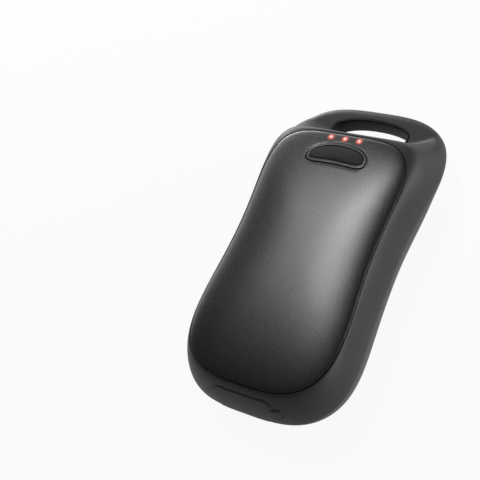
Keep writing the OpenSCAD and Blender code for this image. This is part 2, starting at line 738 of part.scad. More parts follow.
// Holder: a cradle for the cells, with ears on the frame's lugs and a tray with posts for the main board
cell_play = 0.1;
holder_half = cell_d + cell_gap / 2 + holder_wall;
holder_low = cell_low - 2 * strip_wall - holder_wall;
holder_high = cell_top + 2 * strip_wall + holder_wall;
ear_wall = 1.4;
holder_step = cell_d / 2 - 2.7 * holder_wall;
holder_inset = 2.4 * holder_wall;
post_x = 17;
post_y = board_low + board_set + 2 * screw_head_d;
tray_low = post_y - 1.5 * screw_d;
module battery_holder() {
    color([0.7, 0.7, 0.68])
        difference() {
            union() {
                translate([-holder_half, holder_low, -holder_step])
                    cube([2 * holder_half, holder_high - holder_low, holder_step + lug_top + ear_wall]);
                translate([-holder_half + holder_inset, holder_low, -cell_d / 2 - holder_wall])
                    cube([2 * (holder_half - holder_inset), holder_high - holder_low, cell_d / 2]);
                for (s = [-1, 1], y = lug_ys)
                    translate([s > 0 ? holder_half - ear_wall : -lug_x - lug_size[0] / 2, y - lug_size[1] / 2, lug_top + bond_gap])
                        cube([lug_x + lug_size[0] / 2 - holder_half + ear_wall, lug_size[1], ear_wall - bond_gap]);
                for (s = [-1, 1])
                    translate([s * post_x - screw_d, tray_low, lug_top - holder_wall])
                        cube([2 * screw_d, holder_low - tray_low + holder_wall, holder_wall]);
                for (s = [-1, 1])
                    translate([s * post_x, post_y, lug_top - holder_wall])
                        cylinder(d = 2 * screw_d, h = board_top - board_wall - bond_gap - lug_top + holder_wall);
            }
            for (s = [-1, 1])
                translate([s * cell_x, cell_low - 2 * strip_wall, 0])
                    rotate([-90, 0, 0])
                        cylinder(d = cell_d + 2 * cell_play, h = cell_length + 4 * strip_wall);
            for (y = [cell_low - 2 * strip_wall, cell_top])
                translate([-cell_x, y, -strip_width / 2 - slot_gap])
                    cube([2 * cell_x, 2 * strip_wall, strip_width]);
            for (s = [-1, 1], y = lug_ys)
                translate([s * lug_x, y, lug_top - overrun])
                    cylinder(d = screw_d + 2 * slot_gap, h = ear_wall + 2 * overrun);
            for (s = [-1, 1])
                translate([s * post_x, post_y, lug_top - 2 * holder_wall])
                    cylinder(d = screw_d + bond_gap, h = cell_d / 2);
        }
}

// Main board with the two receptacles on its lower edge
board_half = 20;
board_corner = 8;
board_high = holder_low - 4 * slot_gap;
module main_board() {
    color([0.05, 0.3, 0.15])
        difference() {
            translate([0, 0, board_top - board_wall])
                linear_extrude(board_wall)
                    polygon([
                        [-board_half, board_high], [-board_half, board_low + board_corner],
                        [board_corner - board_half - usb_c_size[0] / 2, board_low],
                        [board_half - board_corner + usb_c_size[0] / 2, board_low],
                        [board_half, board_low + board_corner], [board_half, board_high]
                    ]);
            for (s = [-1, 1])
                translate([s * post_x, post_y, board_top - 2 * board_wall])
                    cylinder(d = screw_d + 2 * slot_gap, h = 3 * board_wall);
        }
}
chip_size = [4.6, 4.6, 0.9];
chip_y = post_y - screw_head_d / 2 - chip_size[1] / 2 - slot_gap;
capacitor_size = [1.6, 1.2, 1.2];
module board_chips() {
    color([0.12, 0.12, 0.12])
        union() {
            for (s = [-1, 1])
                translate([s * (post_x - screw_head_d / 2) - chip_size[0] / 2, chip_y - chip_size[1] / 2, board_top + bond_gap])
                    cube(chip_size);
            for (i = [0:3])
                translate([(1.6 * i + 1) * capacitor_size[0] - post_x, board_high - 1.5 * capacitor_size[1], board_top + bond_gap])
                    cube(capacitor_size);
        }
}
inductor_size = [6.5, 6.5, 3];
inductor_set = 1;
module power_inductor() {
    color([0.3, 0.3, 0.32])
        translate([usb_c_mid - inductor_size[0] / 2, port_mouth + usb_c_size[1] + inductor_set, board_top + bond_gap])
            cube(inductor_size);
}
module usb_a_shell() {
    color("silver")
        translate([usb_a_mid - usb_a_size[0] / 2, port_mouth, board_top + bond_gap])
            difference() {
                cube(usb_a_size);
                translate([shell_wall, -overrun, shell_wall])
                    cube([usb_a_size[0] - 2 * shell_wall, usb_a_size[1] - shell_wall + overrun, usb_a_size[2] - 2 * shell_wall]);
            }
}
tongue_set = 1.6;
usb_a_tongue_wall = 1.8;
module usb_a_tongue() {
    color([0.08, 0.08, 0.08])
        union() {
            translate([usb_a_mid - usb_a_size[0] / 2 + 3 * shell_wall, port_mouth + tongue_set, port_height + shell_wall])
                cube([usb_a_size[0] - 6 * shell_wall, usb_a_size[1] - tongue_set - 2 * shell_wall, usb_a_tongue_wall]);
            translate([usb_a_mid - usb_a_size[0] / 2 + 1.5 * shell_wall, port_mouth + usb_a_size[1] * 0.8, board_top + 1.5 * shell_wall])
                cube([usb_a_size[0] - 3 * shell_wall, usb_a_size[1] / 5 - 1.5 * shell_wall, usb_a_size[2] - 3 * shell_wall]);
        }
}
module usb_c_bar(less, depth) {
    h = usb_c_size[2] / 2 - less;
    rotate([-90, 0, 0])
        union() {
            translate([-usb_c_size[0] / 2 + usb_c_size[2] / 2, -h, 0])
                cube([usb_c_size[0] - usb_c_size[2], 2 * h, depth]);
            for (s = [-1, 1])
                translate([s * (usb_c_size[0] - usb_c_size[2]) / 2, 0, 0])
                    cylinder(r = h, h = depth);
        }
}
module usb_c_shell() {
    color("silver")
        translate([usb_c_mid, port_mouth, usb_c_height])
            difference() {
                usb_c_bar(0, usb_c_size[1]);
                translate([0, -overrun, 0]) usb_c_bar(shell_wall, usb_c_size[1] - shell_wall + overrun);
            }
}
tongue_wall = 0.7;
module usb_c_tongue() {
    w = usb_c_size[0] - usb_c_size[2];
    color([0.08, 0.08, 0.08])
        translate([usb_c_mid, port_mouth, usb_c_height])
            union() {
                translate([-w / 2, tongue_set, -tongue_wall / 2])
                    cube([w, usb_c_size[1] - tongue_set - 2 * shell_wall, tongue_wall]);
                translate([0, usb_c_size[1] * 0.75, 0])
                    usb_c_bar(shell_wall + bond_gap, usb_c_size[1] / 4 - 1.5 * shell_wall);
            }
}

// Rubber cover over the ports: a curved flap with two plugs and a pull tab, on a short strap at its left end
flap_wall = cover_wall - 6 * bond_gap;
flap_draft = 0.4;
plug_depth = 0.6;
plug_gap = 0.35;
tab_proud = 0.5;
tab_mid = flap_mid + flap_length / 2 + tab_side / 9;
hinge_x = flap_mid - flap_length / 2;
hinge_y = low_y(hinge_x, port_height - flap_height / 2, 0);
usb_a_root = low_y(usb_a_mid, port_height + usb_a_size[2] / 2, flap_wall / 2);
usb_c_root = low_y(usb_c_mid, usb_c_height + usb_c_size[2] / 2, flap_wall / 2);
module port_cover() {
    color([0.13, 0.14, 0.15])
        union() {
            low_plate(flap_length / 2, flap_height / 2, flap_corner, flap_mid, 0, flap_wall, flap_draft);
            low_plate(tab_side / 2, tab_side / 2, tab_side / 5, tab_mid, -tab_proud, -3 * bond_gap, 0);
            low_plate(tab_side / 6, tab_side / 3, tab_side / 8, tab_mid - tab_side / 3, -tab_proud / 2, flap_wall / 2, 0);
            translate([
                usb_a_mid - usb_a_size[0] / 2 + shell_wall + plug_gap, usb_a_root,
                port_height - usb_a_size[2] / 2 + shell_wall + plug_gap
            ])
                cube([
                    usb_a_size[0] - 2 * (shell_wall + plug_gap), port_mouth + plug_depth - usb_a_root,
                    usb_a_size[2] - 2 * (shell_wall + plug_gap)
                ]);
            translate([usb_c_mid, usb_c_root, usb_c_height])
                usb_c_bar(shell_wall + plug_gap, port_mouth + plug_depth - usb_c_root);
        }
}

// Strap end of the port cover, let into the frame beside the window, under the rubber
anchor_half = [2, 2.2];
anchor_wall = 0.7;
anchor_mid = hinge_x - anchor_half[0] + 2 * flap_gap;
module anchor_plate(grow) {
    low_plate(
        anchor_half[0] + grow, anchor_half[1] + grow, anchor_wall + grow, anchor_mid,
        core_depth + bond_gap - 4 * grow, core_depth + anchor_wall + grow, 0
    );
}
module cover_anchor() {
    color([0.13, 0.14, 0.15]) anchor_plate(0);
}

// Flat cable along the valley between the cells
ribbon_width = 4;
ribbon_wall = 0.3;
pad_length = 1;
lead_end = board_high - 2 * pad_length;
ribbon_z = button_board_top - board_wall - ribbon_wall - bond_gap;
module ribbon_cable() {
    low = lead_end;
    high = button_board_low + pad_length;
    bend = 1.6;
    back = bend - ribbon_wall;
    color([0.9, 0.6, 0.2])
        translate([-ribbon_width / 2, 0, 0])
            rotate([90, 0, 90])
                linear_extrude(ribbon_width)
                    polygon([
                        [low - pad_length, board_top + bond_gap], [low, board_top + bond_gap], [low + bend, ribbon_z],
                        [high, ribbon_z], [high, ribbon_z + ribbon_wall], [low + back, ribbon_z + ribbon_wall],
                        [low - ribbon_wall, board_top + bond_gap + ribbon_wall],
                        [low - pad_length, board_top + bond_gap + ribbon_wall]
                    ]);
}

// Leads: an eight-sided tube along a run of points, none of its stretches along X
lead_d = 1.2;
lead_rest = board_top + lead_d / 2 + bond_gap;
function step_along(points, i) = i < 0 || i > len(points) - 2 ? [0, 0, 0] : unit(points[i + 1] - points[i]);
function lead_ring(points, i, d) =
    let (
        way = unit(step_along(points, i - 1) + step_along(points, i)),
        u = unit(cross(way, [1, 0, 0])),
        v = cross(u, way)
    ) [for (t = [0:45:315]) points[i] + d / 2 * (cos(t) * u + sin(t) * v)];
module lead(points, d) {
    last = len(points) - 1;
    shell_of(points[0], [for (i = [0:last]) lead_ring(points, i, d)], points[last]);
}
module battery_leads() {
    wire_z = ribbon_z - 2 * lead_d;
    high = cell_top + strip_wall + 2 * bond_gap + lead_d / 2;
    low = cell_low - strip_wall - 2 * bond_gap - lead_d / 2;
    plus_x = -4 * lead_d;
    minus_x = 6 * lead_d;
    color([0.7, 0.1, 0.1]) {
        lead([
            [0, high, strip_width / 3], [0, high, wire_z], [0, low, wire_z],
            [plus_x, lead_end + lead_d, lead_rest], [plus_x, lead_end, lead_rest]
        ], lead_d);
        lead([
            [minus_x, low, strip_width / 4], [minus_x, low, lead_rest + lead_d / 2],
            [minus_x, lead_end + lead_d, lead_rest], [minus_x, lead_end, lead_rest]
        ], lead_d);
    }
}

// Leads of the heating films and the bead sensors, from each film's lower edge to the board's near face
film_low = panel_mid - panel_half * layer_reach_share;
film_lead_d = 0.9;
heater_lead_shares = [2.1, 3.1];
bead_d = 1.5;
function film_z(y, d, side) = side * (panel_z(0, y, side) - panel_wall - d / 2 - 2 * bond_gap);
function near_board(d, side) = side > 0 ? board_top + bond_gap + d / 2 : board_top - board_wall - bond_gap - d / 2;
module heater_leads() {
    start = film_low - film_lead_d;
    color([0.85, 0.85, 0.85])
        for (side = [-1, 1], x = heater_lead_shares * lead_d)
            lead([
                [x, start, film_z(start, 2 * film_lead_d, side)], [x, start - film_lead_d, film_z(start, 5 * film_lead_d, side)],
                [x, lead_end, near_board(film_lead_d, side)], [x, lead_end - film_lead_d, near_board(film_lead_d, side)]
            ], film_lead_d);
}
module thermistors() {
    start = film_low - bead_d / 2 - 3 * slot_gap;
    color([0.1, 0.1, 0.1])
        for (side = [-1, 1]) union() {
            translate([-2.8 * lead_d, start - bead_d / 2, film_z(start, bead_d, side)])
                rotate([-90, 0, 0])
                    cylinder(d = bead_d, h = bead_d);
            lead([
                [-2.8 * lead_d, start, film_z(start, bead_d, side)],
                [-2.8 * lead_d, lead_end, near_board(film_lead_d, side)], [-2.8 * lead_d, lead_end - film_lead_d, near_board(film_lead_d, side)]
            ], film_lead_d);
        }
}

// All screws: heads on the holder's ears, the main board and the button board
head_height = 1.3;
module screw() {
    union() {
        cylinder(d = screw_head_d, h = head_height);
        translate([0, 0, -screw_length]) cylinder(d = screw_d, h = screw_length + head_height / 2);
    }
}
module screws() {
    color("silver") {
        for (s = [-1, 1], y = lug_ys)
            translate([s * lug_x, y, lug_top + ear_wall + bond_gap]) screw();
        for (s = [-1, 1])
            translate([s * post_x, post_y, board_top + bond_gap]) screw();
        for (s = [-1, 1])
            translate([s * button_post_x, button_post_y, button_board_top - board_wall - bond_gap])
                rotate([180, 0, 0]) screw();
    }
}

module raised() { translate([0, 0, -rest_z]) children(); }

raised() outer_cover();
raised() core_frame();
raised() hole_ring();
raised() front_panel();
raised() rear_panel();
raised() front_seal();
raised() rear_seal();
raised() front_carrier();
raised() rear_carrier();
raised() front_heater();
raised() rear_heater();
raised() front_insulation();
raised() rear_insulation();
raised() power_button();
raised() button_bezel();
raised() bezel_gasket();
raised() light_guide();
raised() indicator_lights();
raised() button_board();
raised() switch_body();
raised() switch_plunger();
raised() left_cell();
raised() right_cell();
raised() battery_holder();
raised() cell_strips();
raised() main_board();
raised() board_chips();
raised() power_inductor();
raised() usb_a_shell();
raised() usb_a_tongue();
raised() usb_c_shell();
raised() usb_c_tongue();
raised() port_cover();
raised() cover_anchor();
raised() ribbon_cable();
raised() battery_leads();
raised() heater_leads();
raised() thermistors();
raised() screws();
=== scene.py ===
import math
import bmesh
import bpy
from mathutils import Matrix, Vector
from mathutils.bvhtree import BVHTree


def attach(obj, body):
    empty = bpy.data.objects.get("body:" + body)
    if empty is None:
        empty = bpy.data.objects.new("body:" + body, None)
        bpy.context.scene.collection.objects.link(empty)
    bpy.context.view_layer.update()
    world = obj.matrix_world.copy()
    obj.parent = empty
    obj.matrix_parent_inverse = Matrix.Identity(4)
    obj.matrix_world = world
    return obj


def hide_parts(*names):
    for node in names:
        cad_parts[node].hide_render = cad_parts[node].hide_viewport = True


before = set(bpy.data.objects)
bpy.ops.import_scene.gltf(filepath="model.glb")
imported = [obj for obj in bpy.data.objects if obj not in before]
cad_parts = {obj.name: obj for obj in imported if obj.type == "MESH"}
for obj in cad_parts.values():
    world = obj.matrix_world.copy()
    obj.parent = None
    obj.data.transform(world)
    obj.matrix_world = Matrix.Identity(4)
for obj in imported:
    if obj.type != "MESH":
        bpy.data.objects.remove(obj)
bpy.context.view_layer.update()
print("frame loaded:", len(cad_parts), "nodes")

# Shapes are drawn in millimetres about the body's middle plane, then raised and turned to metres.
bodyShape = {
    "length": 128.0,
    "width": 68.5,
    "waistShare": 0.19,  # how much of the width the waist takes away
    "waistSpread": 41.0,
    "waistPower": 3,
    "waistPlace": 1 / 19,  # below the middle, as a share of the half length
    "frontEdge": 12.6,  # the front seam's height at the middle
    "rearEdge": 12.6,
    "frontClimb": 1.5,  # how much higher the front seam's height is at the loop end
    "frontBow": 0.9,
    "topPower": 3.44,  # how square the loop end's outline is
    "bottomPower": 3.26,
    "roundPower": 1.35,  # how full the skin is between the silhouette and the seam
    "coverWall": 2.0,
    "lipRound": 0.42,  # rounding of the rubber where it meets a panel
    "windowRound": 0.2,  # rounding of the rubber round the port window
    "turnSteps": 320,
    "restHeight": 14.6,  # from the rear flat to the middle plane
}
loopShape = {
    "half": 3.6,  # half the loop's thickness
    "drop": 4.6,  # how far it lies behind the middle plane
    "round": 4.0,
    "bar": 6.1,
    "crest": 0.6,
    "crestBow": 22.0,  # how far the shoulder's crest falls back along the sides
    "footBow": 22.0,  # and how far its foot runs on
    "bowPower": 4,
    "crestInset": 0.3,  # how far the crest moves in with the depth
    "footShare": 0.4,  # how much of the ring's wall lies under the foot
}
holeShape = {
    "half": 15.4,
    "width": 8.7,
    "bowShare": 0.25,  # how far the loop side bows in at the ends, as a share of the width
    "squareness": 0.5,
    "ringWall": 1.1,
    "edgeRound": 0.3,
    "gap": 0.05,
    "cutPast": 20,
    "turnSteps": 240,
}
panelShape = {
    "lowBorder": 6.5,
    "topBorder": 22.6,
    "sideBorder": 5.4,
    "waistShare": 0.27,
    "spreadShare": 1.31,
    "waistPower": 2,
    "crown": 2.4,
    "wall": 1.0,
    "rim": 1.5,
    "gap": 0.22,  # the black groove round a panel
    "topPower": 4.29,
    "bottomPower": 3.03,
    "taperShare": 0.021,
    "crownPower": 2.85,
    "crownRoot": 1.4,
    "restFlat": 0.4,  # how deep the rear panel's crown is cut flat
    "turnSteps": 320,
    "outerRings": (30, 1.9),  # how many, and how they crowd toward the rim
    "innerRings": (12, 1.7),
}
skinGrid = {
    "edgeSteps": 14,
    "edgePower": 1.8,
    "shoulderSteps": 14,
    "topSteps": 12,
    "lipSteps": (0.65, 0.4, 0.2, 0.06, 0),
    "footRange": (0.2, 0.6),
    "crestRange": (0.6, 0.95),
    "readAt": 0.8,  # the share of the half width where crest and foot are read
    "crestLast": 0.9,
    "insideEdge": 0.3,
}
quarterTilts = (0, 30, 60, 90)  # degrees round an edge
mouthTilts = (0, 20, 40, 60, 78)  # a cutter's lip stops short of lying flat on the skin
mergeReach = 0.0005
sliverReach = 0.002
cutterProud = 3.0  # how far a cutter stands out past the skin
nudge = 0.5  # degrees to each side, for the seam's direction

halfLength = bodyShape["length"] / 2
waistY = -halfLength * bodyShape["waistPlace"]
panelBottom = -halfLength + panelShape["lowBorder"]
panelTop = halfLength - panelShape["topBorder"]
panelMid = (panelTop + panelBottom) / 2
panelHalf = (panelTop - panelBottom) / 2
holeTop = halfLength - loopShape["bar"]
holeLow = holeTop - holeShape["width"]
footY = holeLow + loopShape["footShare"] * holeShape["ringWall"]
crestY = panelTop + loopShape["crest"]


def blend(low, high, share):
    return low + (high - low) * share


def within(value, limits):
    return min(limits[1], max(limits[0], value))


def smoothStep(share):
    clear = max(0.0, min(1.0, share))
    return clear * clear * (3 - 2 * clear)


def bent(value, power):
    return math.copysign(abs(value) ** power, value)


def rimShares(turn, power):
    across = math.cos(math.radians(turn))
    along = math.sin(math.radians(turn))
    size = (abs(across) ** power + abs(along) ** power) ** (1 / power)
    return across / size, along / size


def pinch(y, share, spread, power):
    return 1 - share * math.exp(-((abs(y - waistY) / spread) ** power))


def outlineShares(turn):
    power = bodyShape["topPower"] if turn % 360 < 180 else bodyShape["bottomPower"]
    across, along = rimShares(turn, power)
    y = halfLength * along
    return across * pinch(y, bodyShape["waistShare"], bodyShape["waistSpread"], bodyShape["waistPower"]), y


fullHalf = bodyShape["width"] / 2 / max(outlineShares(turn)[0] for turn in range(180))


def outlinePoint(turn):
    across, y = outlineShares(turn)
    return Vector((fullHalf * across, y))


def seamPinch(y):
    spread = bodyShape["waistSpread"] * panelShape["spreadShare"]
    return pinch(y, panelShape["waistShare"], spread, panelShape["waistPower"])


def seamShares(turn):
    power = panelShape["topPower"] if turn % 360 < 180 else panelShape["bottomPower"]
    across, along = rimShares(turn, power)
    y = panelMid + panelHalf * along
    return across * seamPinch(y) * (1 - panelShape["taperShare"] * along), y


panelFullHalf = (bodyShape["width"] / 2 - panelShape["sideBorder"]) / max(
    seamShares(turn)[0] for turn in range(180, 360, 2)
)


def seamPoint(turn):
    across, y = seamShares(turn)
    return Vector((panelFullHalf * across, y))


def seamInward(turn, distance):
    along = (seamPoint(turn + nudge) - seamPoint(turn - nudge)).normalized()
    return seamPoint(turn) + distance * Vector((-along.y, along.x))


def edgeHeight(y, side):
    if side < 0:
        return bodyShape["rearEdge"]
    share = y / halfLength
    return bodyShape["frontEdge"] + bodyShape["frontClimb"] * share + bodyShape["frontBow"] * share * share


def crownHeight(share, height):
    return height * max(0.0, 1 - share ** panelShape["crownPower"]) ** (1 / panelShape["crownRoot"])


def panelHeight(x, y, side=1):
    along = (y - panelMid) / panelHalf
    power = panelShape["topPower"] if along > 0 else panelShape["bottomPower"]
    half = panelFullHalf * seamPinch(y) * (1 - panelShape["taperShare"] * along)
    share = min(1.0, (abs(x / half) ** power + abs(along) ** power) ** (1 / power))
    return edgeHeight(y, side) + crownHeight(share, panelShape["crown"])


def lipDrop(distance, radius):
    if distance >= radius:
        return 0.0
    return radius - math.sqrt(max(0.0, radius * radius - (radius - distance) ** 2))


def shoulderEnds(x, depth):
    # crest and foot of the shoulder: the drop fans out toward the sides, and moves in with the depth
    bow = (2 * x / bodyShape["width"]) ** loopShape["bowPower"]
    crest = crestY - loopShape["crestBow"] * bow * bow - loopShape["crestInset"] * depth
    return crest, footY + loopShape["footBow"] * bow - depth


def skinPoint(turn, share, side, depth):
    # share runs from 0 on the silhouette to 1 at the panel's seam
    seam = seamPoint(turn)
    outer = outlinePoint(turn)
    outer = outer + depth * (seam - outer).normalized()
    place = outer.lerp(seam, share)
    reach = (seam - outer).length
    rounding = bodyShape["roundPower"]
    rise = (1 - (1 - share) ** rounding) ** (1 / rounding)
    body = (edgeHeight(min(place.y, panelTop), side) - depth) * rise
    near = min(1.0, share * reach / loopShape["round"])
    loop = (loopShape["half"] - depth) * math.sqrt(1 - (1 - near) ** 2)
    crest, foot = shoulderEnds(place.x, depth)
    fall = smoothStep((place.y - crest) / (foot - crest))
    height = blend(body, loop - side * loopShape["drop"], fall)
    if depth == 0:
        height -= lipDrop((1 - share) * reach, bodyShape["lipRound"])
    return Vector((place.x, place.y, side * height))


def skinShares(turn, depth):
    # three zones: round the edge, down or up the shoulder, and over the crest to the seam
    outer = outlinePoint(turn)
    seam = seamPoint(turn)
    room = max(outer.y - depth - seam.y, holeShape["ringWall"])
    crest, foot = shoulderEnds(outer.x * skinGrid["readAt"], depth)
    first = within((outer.y - depth - foot) / room, skinGrid["footRange"])
    second = within((outer.y - depth - crest) / room, skinGrid["crestRange"])
    if depth > 0:
        return [0, skinGrid["insideEdge"] * first, first, blend(first, second, 0.5), second, 1]
    reach = (outer - seam).length
    last = 1 - bodyShape["lipRound"] / reach
    second = min(second, blend(first, last, skinGrid["crestLast"]))
    edge, shoulder, top = skinGrid["edgeSteps"], skinGrid["shoulderSteps"], skinGrid["topSteps"]
    shares = [first * (i / edge) ** skinGrid["edgePower"] for i in range(edge)]
    shares += [blend(first, second, i / shoulder) for i in range(shoulder)]
    shares += [blend(second, last, i / top) for i in range(top + 1)]
    return shares + [1 - bodyShape["lipRound"] * s / reach for s in skinGrid["lipSteps"]]


def addLoft(mesh, rings, joined=False):
    # rings of points, each closed; joined leads the last ring back to the first
    count = len(rings[0])
    ring = bmesh.ops.create_circle(mesh, cap_ends=False, segments=count, radius=1.0)["verts"]
    placed = list(ring)
    for vert, point in zip(ring, rings[0]):
        vert.co = point
    for points in rings[1:] + (rings[:1] if joined else []):
        edges = [mesh.edges.get((ring[i], ring[(i + 1) % count])) for i in range(count)]
        made = bmesh.ops.extrude_edge_only(mesh, edges=edges)["geom"]
        fresh = {item for item in made if isinstance(item, bmesh.types.BMVert)}
        ahead = []
        for vert in ring:
            ahead.append(next(e.other_vert(vert) for e in vert.link_edges if e.other_vert(vert) in fresh))
        for vert, point in zip(ahead, points):
            vert.co = point
        placed += ahead
        ring = ahead
    bmesh.ops.remove_doubles(mesh, verts=placed, dist=mergeReach)


def objectFrom(mesh, name):
    bmesh.ops.recalc_face_normals(mesh, faces=mesh.faces[:])
    data = bpy.data.meshes.new(name)
    mesh.to_mesh(data)
    mesh.free()
    piece = bpy.data.objects.new(name, data)
    bpy.context.scene.collection.objects.link(piece)
    return piece


def cutAway(piece, cutters):
    for cutter in cutters:
        cut = piece.modifiers.new(cutter.name, "BOOLEAN")
        cut.operation = "DIFFERENCE"
        cut.solver = "EXACT"
        cut.object = cutter
    graph = bpy.context.evaluated_depsgraph_get()
    finished = bpy.data.meshes.new_from_object(piece.evaluated_get(graph))
    piece.modifiers.clear()
    # slivers that the cut leaves are closed up
    mesh = bmesh.new()
    mesh.from_mesh(finished)
    bmesh.ops.triangulate(mesh, faces=[face for face in mesh.faces if len(face.verts) > 4])
    bmesh.ops.dissolve_degenerate(mesh, dist=sliverReach, edges=mesh.edges[:])
    mesh.to_mesh(finished)
    mesh.free()
    piece.data = finished
    for cutter in cutters:
        bpy.data.objects.remove(cutter)


def settle(piece, material, body, nodes, sharpAngle=32):
    # to metres, raised so that the rear flat lies at zero
    raised = Matrix.Translation((0, 0, bodyShape["restHeight"] * 0.001)) @ Matrix.Scale(0.001, 4)
    piece.data.transform(raised)
    piece.data.materials.clear()
    piece.data.materials.append(material)
    piece.data.shade_smooth()
    piece.data.set_sharp_from_angle(angle=math.radians(sharpAngle))
    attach(piece, body)
    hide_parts(*nodes)
    print(piece.name, "made:", len(piece.data.polygons), "faces")


def roundSteps(radius, tilts):
    # how far in from the wall and how far under the top a rounded edge is at each tilt
    steps = []
    for tilt in tilts:
        inward = radius * (1 - math.cos(math.radians(tilt)))
        sunk = radius * (1 - math.sin(math.radians(tilt)))
        steps.append((inward, sunk))
    return steps


def flareRings(outlineAt, surfaceAt, radius, deep):
    # a cutter's rings: straight up from the depth, then out over a rounded lip, then straight past the skin
    rings = [[deep(point) for point in outlineAt(0)]]
    for grow, sunk in roundSteps(radius, mouthTilts):
        rings.append([surfaceAt(point, sunk) for point in outlineAt(grow)])
    rings.append([surfaceAt(point, -cutterProud) for point in outlineAt(grow)])
    return rings


def closedAtEnds(rings):
    ends = []
    for ring in (rings[0], rings[-1]):
        middle = sum(ring, Vector()) / len(ring)
        ends.append([middle for point in ring])
    return [ends[0]] + rings + [ends[1]]


def roundRing(x, y, size, height, steps=24):
    turns = [math.radians(360 / steps * i) for i in range(steps)]
    return [Vector((x + size * math.cos(turn), y + size * math.sin(turn), height)) for turn in turns]


# Materials

noiseRange = (0.25, 0.75)  # where most of a noise's values lie


def colourFrom(code):
    # sRGB hex to the linear values that the shader takes
    channels = []
    for place in (1, 3, 5):
        value = int(code[place:place + 2], 16) / 255
        channels.append(value / 12.92 if value <= 0.04045 else ((value + 0.055) / 1.055) ** 2.4)
    return (*channels, 1.0)


def addNode(tree, kind, settings=None, links=None, ramp=()):
    # inputs go by name, or by number where two have one name; ramp gives each stop's place and colour
    node = tree.nodes.new(kind)
    for name, value in (settings or {}).items():
        if isinstance(name, int) or name in node.inputs:
            node.inputs[name].default_value = value
        else:
            setattr(node, name, value)
    for name, source in (links or {}).items():
        tree.links.new(source, node.inputs[name])
    for i, (place, code) in enumerate(ramp):
        node.color_ramp.elements[i].position = place
        node.color_ramp.elements[i].color = colourFrom(code)
    return node


def perMetre(millimetres):
    return 1000.0 / millimetres


def startMaterial(name, constants):
    material = bpy.data.materials.new(name)
    material.use_nodes = True
    tree = material.node_tree
    shader = tree.nodes["Principled BSDF"]
    for socket, value in constants.items():
        shader.inputs[socket].default_value = value
    place = addNode(tree, "ShaderNodeTexCoord").outputs["Object"]
    return material, tree, shader, place


def finishShader(tree, shader, tone, tooth, ramp, rough, depth):
    # colour from one pattern; roughness, and a bump of a depth in millimetres, from another
    paint = addNode(tree, "ShaderNodeValToRGB", {}, {"Fac": tone.outputs["Fac"]}, ramp)
    gloss = addNode(
        tree, "ShaderNodeMapRange",
        {"From Min": noiseRange[0], "From Max": noiseRange[1], "To Min": rough[0], "To Max": rough[1]},
        {"Value": tooth.outputs["Fac"]},
    )
    bump = addNode(
        tree, "ShaderNodeBump", {"Strength": 1.0, "Distance": depth * 0.001}, {"Height": tooth.outputs["Fac"]}
    )
    tree.links.new(paint.outputs["Color"], shader.inputs["Base Color"])
    tree.links.new(gloss.outputs["Result"], shader.inputs["Roughness"])
    tree.links.new(bump.outputs["Normal"], shader.inputs["Normal"])


def grainedMaterial(name, dark, light, patch, grain, depth, rough, constants):
    # cloudy tone of one size over a finer grain of another, both in millimetres
    material, tree, shader, place = startMaterial(name, constants)
    cloud = addNode(tree, "ShaderNodeTexNoise", {"Scale": perMetre(patch), "Detail": 3.0}, {"Vector": place})
    fine = addNode(tree, "ShaderNodeTexNoise", {"Scale": perMetre(grain), "Detail": 4.0}, {"Vector": place})
    finishShader(tree, shader, cloud, fine, ((0.3, dark), (0.7, light)), rough, depth)
    return material


# Soft-touch moulded rubber: a satin skin with a faint tooth, so that edges show as soft grey bands.
# The tooth is about 0.1 mm on the real one and is drawn at 0.4 mm, so that it shows.
softTouchRubber = grainedMaterial(
    "softTouchMouldedRubber", "#202224", "#252729", 14, 0.4, 0.012, (0.48, 0.54),
    {"Specular IOR Level": 0.26},
)

# Glass-filled nylon of the inner frame and the ring in the finger hole: dark, dull, slightly mottled
frameNylon = grainedMaterial(
    "mouldedNylonFrame", "#0a0a0b", "#0e0e0f", 6, 0.35, 0.01, (0.5, 0.6), {"Specular IOR Level": 0.12},
)

# Sand-blasted anodised aluminium: dark grey metal that spreads a lamp into a broad grainy glow.
# The grit's pits are under 0.1 mm and are drawn at 0.42 mm, so that the grain shows.
blastedLook = {
    "metallic": 0.92,
    "grit": 0.42,
    "depth": 0.03,
    "tones": ((0.32, "#404041"), (0.68, "#5a5a5b")),
    "rough": (0.27, 0.35),
}


def blastedMaterial(name):
    material, tree, shader, place = startMaterial(name, {"Metallic": blastedLook["metallic"]})
    grit = addNode(
        tree, "ShaderNodeTexNoise", {"Scale": perMetre(blastedLook["grit"]), "Detail": 5.0, "Roughness": 0.7},
        {"Vector": place},
    )
    finishShader(tree, shader, grit, grit, blastedLook["tones"], blastedLook["rough"], blastedLook["depth"])
    return material, tree, shader, place


blastedRear = blastedMaterial("sandBlastedAnodisedAluminium")[0]

lightShape = {
    "pitch": 5.8,
    "radius": 0.6,
    "drop": 2.05,
    "proud": 0.1,
    "gap": 0.03,  # between a pin and its hole
    "flare": 0.12,  # how much wider the hole is at the top
    "flareDeep": 0.2,
    "cutTop": 30,
    "tip": ((0, -3.0), (1, -3.0), (1, -0.25), (0.94, -0.12), (0.78, -0.04), (0.5, -0.01), (0, 0)),
    # reach, fall-off and colour of the red glow painted as emission on the panel round each light
    "glowReach": 2.3,
    "glowPower": 2.2,
    "glowColour": "#ff6a50",
}
lightSteps = (-1, 0, 1)
lightY = panelTop - lightShape["drop"]
lightTop = panelHeight(0, lightY) + lightShape["proud"]


